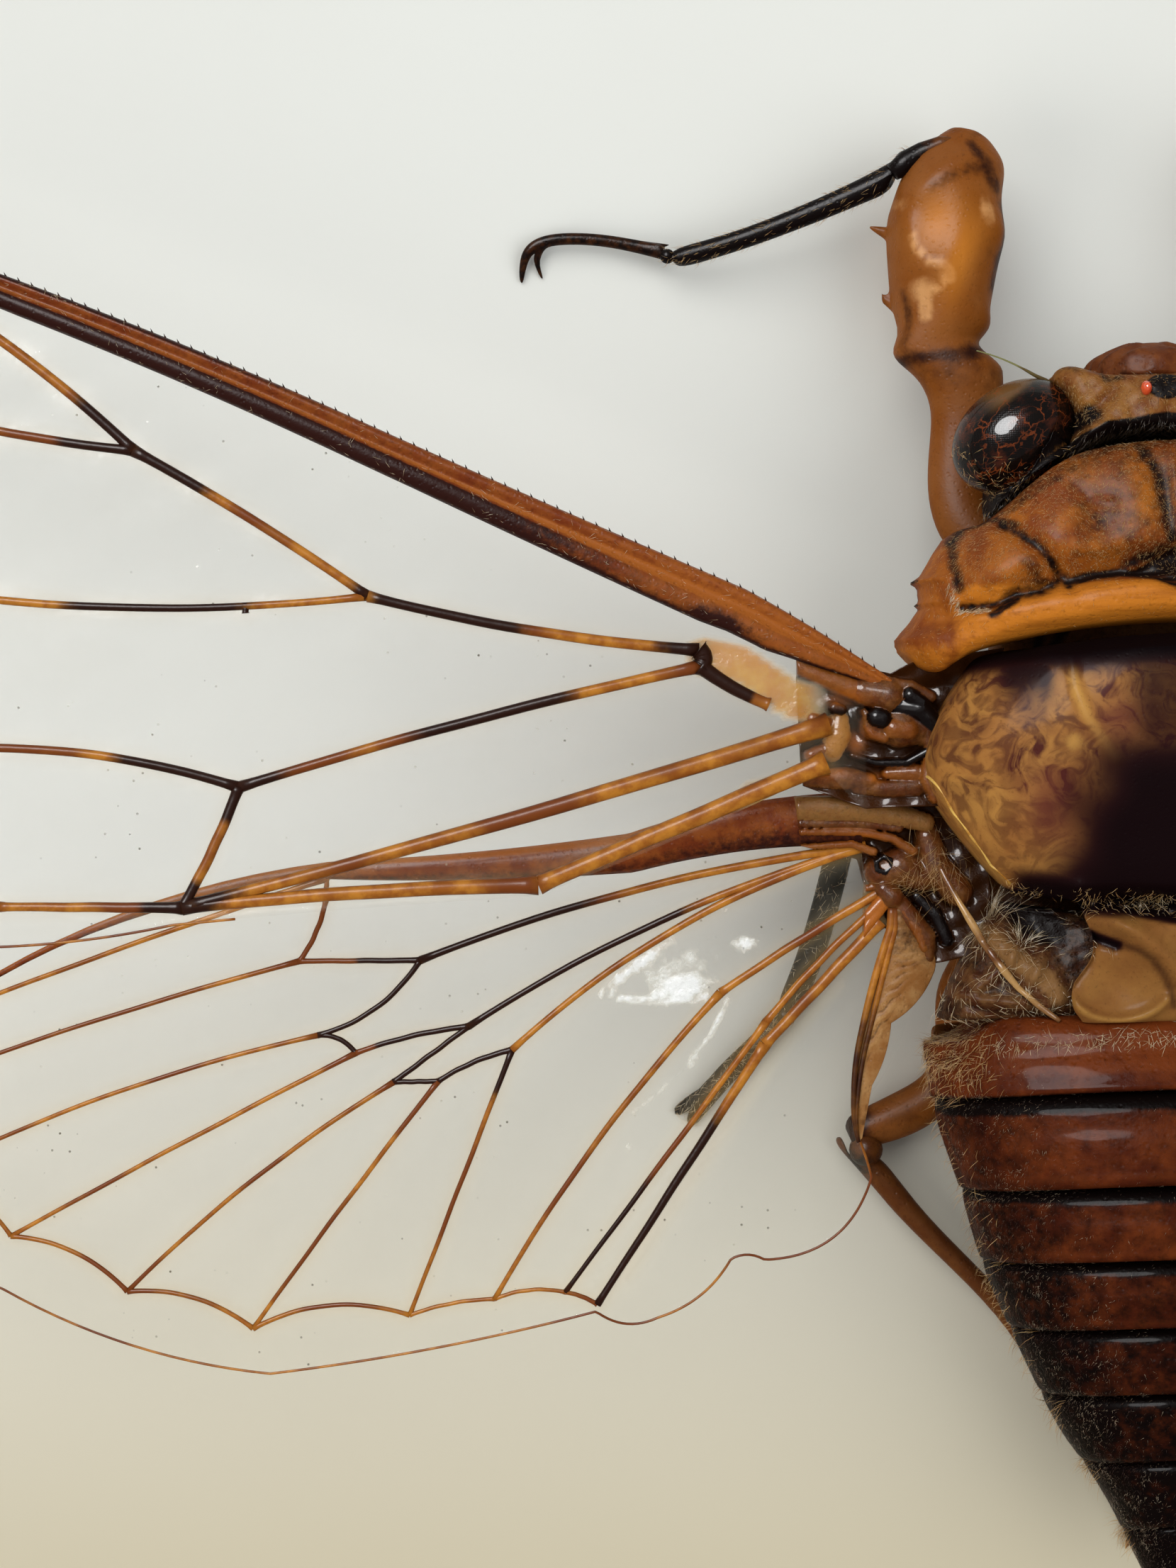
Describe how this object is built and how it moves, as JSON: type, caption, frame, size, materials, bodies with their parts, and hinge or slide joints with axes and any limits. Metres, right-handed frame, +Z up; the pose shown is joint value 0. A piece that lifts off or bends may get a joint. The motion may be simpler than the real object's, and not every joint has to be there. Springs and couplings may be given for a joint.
{
  "type": "model of a large cicada with spread wings",
  "caption": "Life-size still model of a large spread cicada: clear veined wings, banded abdomen, legs and head, resting flat on its breast and feet",
  "frame": {"origin": "centre of the bounding box's bottom, on the plane that the breast and feet rest on", "axes": "+X to the animal's right, across the wings; +Y towards the head; +Z up, away from the back"},
  "size_m": [0.21, 0.0824, 0.019],
  "materials": {
    "vertex": "olive-brown, finely haired shell",
    "face": "ridged brown shell",
    "eye": "near-black facets netted with rust",
    "ocellus": "glossy orange-red bead",
    "antenna": "dark bristle",
    "pronotum": "fissured brown shell with dark patches",
    "collar": "orange shell with a fine grain",
    "mesonotum": "ochre and dark purple-brown mottled shell",
    "metanotum": "brown shell with pale hair",
    "breast": "brown shell",
    "abdomen": "mahogany shell, black behind each ring, pale down",
    "operculum": "brown shell",
    "wing_base": "dark glossy hinge plates",
    "wing": "clear membrane with amber and black veins",
    "femur": "orange-brown shell",
    "shin": "black-brown shell"
  },
  "bodies": {
    "root": {"head": "vertex", "postclypeus": "face", "rostrum": "face", "eye_left": "eye", "eye_right": "eye", "ocellus_middle": "ocellus", "ocellus_left": "ocellus", "ocellus_right": "ocellus", "antenna_left": "antenna", "antenna_right": "antenna", "pronotum": "pronotum", "pronotal_collar": "collar", "mesonotum": "mesonotum", "metanotum": "metanotum", "cruciform_elevation": "metanotum", "thorax_underside": "breast", "abdomen_1": "abdomen", "abdomen_2": "abdomen", "abdomen_3": "abdomen", "abdomen_4": "abdomen", "abdomen_5": "abdomen", "abdomen_6": "abdomen", "abdomen_7": "abdomen", "abdomen_tip": "abdomen", "operculum_left": "operculum", "operculum_right": "operculum", "forewing_base_left": "wing_base", "forewing_base_right": "wing_base", "hindwing_base_left": "wing_base", "hindwing_base_right": "wing_base", "forewing_left": "wing", "forewing_right": "wing", "hindwing_left": "wing", "hindwing_right": "wing", "foreleg_femur_left": "femur", "foreleg_femur_right": "femur", "midleg_femur_left": "femur", "midleg_femur_right": "femur", "hindleg_femur_left": "femur", "hindleg_femur_right": "femur", "foreleg_tibia_left": "shin", "foreleg_tibia_right": "shin", "foreleg_tarsus_left": "shin", "foreleg_tarsus_right": "shin", "midleg_tibia_left": "shin", "midleg_tibia_right": "shin", "midleg_tarsus_left": "shin", "midleg_tarsus_right": "shin", "hindleg_tibia_left": "shin", "hindleg_tibia_right": "shin", "hindleg_tarsus_left": "shin", "hindleg_tarsus_right": "shin"}
  },
  "joints": []
}
